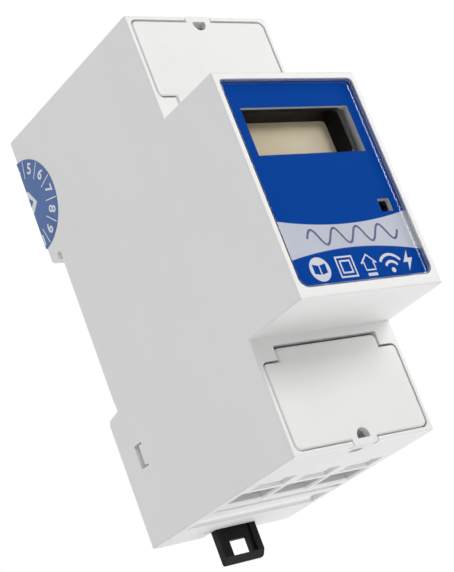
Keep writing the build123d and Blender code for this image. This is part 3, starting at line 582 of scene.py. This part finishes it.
def fold_over_edge(shape):
    """Takes flat print on the left side and lays what passes the rear edge on the back."""
    geometry = shape.verts[:] + shape.edges[:] + shape.faces[:]
    bmesh.ops.bisect_plane(shape, geom=geometry, plane_co=(0, FOLD_Y, 0), plane_no=(0, 1, 0), dist=1e-7)
    for vert in shape.verts:
        past = vert.co.y - FOLD_Y
        if past > 0:
            lift = FACE_X - vert.co.x
            vert.co = (FACE_X + past, FOLD_Y + lift, vert.co.z)


def sticker_print(look):
    """Month ring with its divider lines, and a tick in the middle."""
    to_side = Matrix.Translation((FACE_X - PRINT_T / 2, DIAL_Y, DIAL_Z)) @ Matrix(
        ((0, 0, -1, 0), (-1, 0, 0, 0), (0, 1, 0, 0), (0, 0, 0, 1)))
    parts = []
    for month in range(1, 13):
        angle = math.radians(FIRST_MONTH_ANGLE + MONTH_STEP * (month - 1))
        spot = Matrix.Translation((MONTH_RADIUS * math.cos(angle), MONTH_RADIUS * math.sin(angle), 0))
        upright = Matrix.Rotation(angle - math.pi / 2, 4, "Z")
        figures = lettered(str(month), MONTH_SIZE, MONTH_WEIGHT)
        parts.append((figures, to_side @ spot @ upright))
        edge = angle - math.radians(MONTH_STEP / 2)
        line = [(r * math.cos(edge), r * math.sin(edge)) for r in DIVIDER_ENDS]
        parts.append((filled([stroke(line, 0.22)]), to_side))
    tick = [(0.6, 2.6), (2.3, 0.2), (-2.6, -3.2)]
    parts.append((filled([stroke(tick, 1.3)]), to_side))
    shape = join(parts)
    fold_over_edge(shape)
    add_piece("sticker_print", shape, look, ROOT)


# ---- spring of the rail clip --------------------------------------------------------------

SPRING_WIRE_R = 0.22 * MM
SPRING_TURNS = 8


def wire_ring(shape, middle, outward, sides=10):
    """The points round the wire at one place along the coil."""
    ring = []
    for side in range(sides):
        angle = 2 * math.pi * side / sides
        offset = outward * math.cos(angle) + Vector((0, 0, 1)) * math.sin(angle)
        ring.append(shape.verts.new(middle + offset * SPRING_WIRE_R))
    return ring


def coil_shape(low, high, centre_y, steps=32):
    """A wire wound upwards, as wide and as long as a box."""
    shape = bmesh.new()
    radius = (high.x - low.x) / 2 - SPRING_WIRE_R
    rise = high.z - low.z - 2 * SPRING_WIRE_R
    count = SPRING_TURNS * steps
    rings = []
    for k in range(count + 1):
        turn = 2 * math.pi * k / steps
        outward = Vector((math.cos(turn), math.sin(turn), 0))
        level = low.z + SPRING_WIRE_R + rise * k / count
        rings.append(wire_ring(shape, Vector((0, centre_y, level)) + outward * radius, outward))
    for first, second in zip(rings, rings[1:]):
        for side in range(len(first)):
            after = (side + 1) % len(first)
            shape.faces.new((first[side], first[after], second[after], second[side]))
    shape.faces.new(rings[0])
    shape.faces.new(rings[-1])
    return shape


def coil_spring(look):
    """The clip's spring as a wound coil of wire, in place of the plain spring piece."""
    low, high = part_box("rail_clip_spring")
    centre_y = (low.y + high.y) / 2
    spring = add_piece("coil_spring", coil_shape(low, high, centre_y), look, ROOT)
    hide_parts("rail_clip_spring")
    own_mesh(spring)


# ---- camera, light and floor --------------------------------------------------------------

CAMERA_PLACE = (-0.20617, -0.25456, -0.09891)
CAMERA_RIGHT = (0.76645, -0.54267, -0.34361)
CAMERA_UP = (0.08547, -0.44403, 0.89192)
LENS_MM, SENSOR_MM = 105.03, 36.0


def make_camera():
    """Low on the left, looking up at the front, rolled as in a product picture."""
    right = Vector(CAMERA_RIGHT)
    up = Vector(CAMERA_UP)
    back = right.cross(up).normalized()
    data = bpy.data.cameras.new("camera")
    data.sensor_width = SENSOR_MM
    data.lens = LENS_MM
    data.clip_start, data.clip_end = 0.01, 20.0
    camera = bpy.data.objects.new("camera", data)
    pose = Matrix((right, up, back)).transposed().to_4x4()
    camera.matrix_world = Matrix.Translation(CAMERA_PLACE) @ pose
    bpy.context.scene.collection.objects.link(camera)
    bpy.context.scene.camera = camera


def softbox(name, place, aim, width, height, power, color, spread=180):
    """A rectangular area light aimed at a point, its beam as wide as spread in degrees."""
    data = bpy.data.lights.new(name, "AREA")
    data.shape = "RECTANGLE"
    data.size, data.size_y = width, height
    data.energy = power
    data.color = color
    data.spread = math.radians(spread)
    light = bpy.data.objects.new(name, data)
    light.location = place
    light.rotation_euler = (Vector(aim) - Vector(place)).to_track_quat("-Z", "Y").to_euler()
    bpy.context.scene.collection.objects.link(light)


BRIGHT_SIDE = (-0.6, 0.8, 0.1)
TENT_DIM, TENT_BRIGHT = 0.31, 1.06
FLAG = (0.686, -0.65, 0.33)   # where the front plate would mirror the studio into the camera
FLAG_EDGE = (0.92, 0.97)      # from full light to the flag, by how squarely a direction faces it
FLAG_LEVEL = 0.01
BACKDROP = 1.02               # strength of the tent as the camera sees it
TENT_COLOR = (0.985, 0.99, 1.0, 1.0)
WARM, NEUTRAL, COOL = (1.0, 0.99, 0.975), (1.0, 0.995, 0.985), (0.98, 0.985, 1.0)
MIDDLE = (0, -0.04, 0)


def make_light():
    """A white tent, brightest behind on the left, with a black flag, two keys and two fills."""
    world = bpy.data.worlds.new("studio")
    bpy.context.scene.world = world
    world.use_nodes = True
    tree = world.node_tree
    background = tree.nodes["Background"]
    direction = tree.nodes.new("ShaderNodeTexCoord").outputs["Generated"]
    sides = remap(tree, facing(tree, direction, BRIGHT_SIDE), -0.2, 0.9, TENT_DIM, TENT_BRIGHT)
    flag = remap(tree, facing(tree, direction, FLAG), *FLAG_EDGE, 1.0, FLAG_LEVEL)
    level = calc(tree, "MULTIPLY", sides, flag)
    seen = tree.nodes.new("ShaderNodeLightPath").outputs["Is Camera Ray"]
    strength = calc(tree, "MAXIMUM", level, calc(tree, "MULTIPLY", seen, BACKDROP))
    background.inputs["Color"].default_value = TENT_COLOR
    tree.links.new(strength, background.inputs["Strength"])
    softbox("side_key", (0.70, -0.40, 0.22), MIDDLE, 0.24, 0.42, 1.8, WARM)
    softbox("front_key", (0.34, -0.72, 0.34), MIDDLE, 0.30, 0.30, 2.6, WARM)
    softbox("left_fill", (-0.30, -0.45, 0.50), (0, -0.05, 0), 0.30, 0.30, 0.5, NEUTRAL)
    softbox("low_fill", (0.14, 0.03, -0.24), (0, -0.02, -0.03), 0.16, 0.16, 0.06, COOL, spread=80)


FLOOR_Z = -0.28


def make_floor():
    """Plain pale floor well below the meter, which hangs on its rail."""
    shape = bmesh.new()
    bmesh.ops.create_grid(shape, x_segments=2, y_segments=2, size=3.0)
    mesh = bpy.data.meshes.new("floor")
    shape.to_mesh(mesh)
    shape.free()
    floor = bpy.data.objects.new("floor", mesh)
    floor.location = (0, 0, FLOOR_Z)
    bpy.context.scene.collection.objects.link(floor)
    look, tree, bsdf = material("floor_paint", srgb(232, 232, 232), 0.8)
    tone = remap(tree, noise(tree, 3.0), 0.3, 0.7, 0.0, 1.0)
    darker, lighter = srgb(230, 230, 230), srgb(234, 234, 234)
    tree.links.new(blend_color(tree, tone, darker, lighter), bsdf.inputs["Base Color"])
    mesh.materials.append(look)


# ---- build --------------------------------------------------------------------------------

bpy.context.scene.view_settings.view_transform = "Standard"
make_camera()
make_light()
make_floor()
dress_nodes()
white_ink = ink("white_ink", srgb(226, 230, 240))
slate_ink = ink("slate_ink", srgb(58, 66, 128))
wave_mark(slate_ink)
for mark in (book_mark, squares_mark, house_mark, radio_mark, bolt_mark):
    mark(white_ink)
sticker_print(ink("sticker_ink", srgb(232, 236, 242)))
coil_spring(NODES["rail_clip_spring"].data.materials[0])
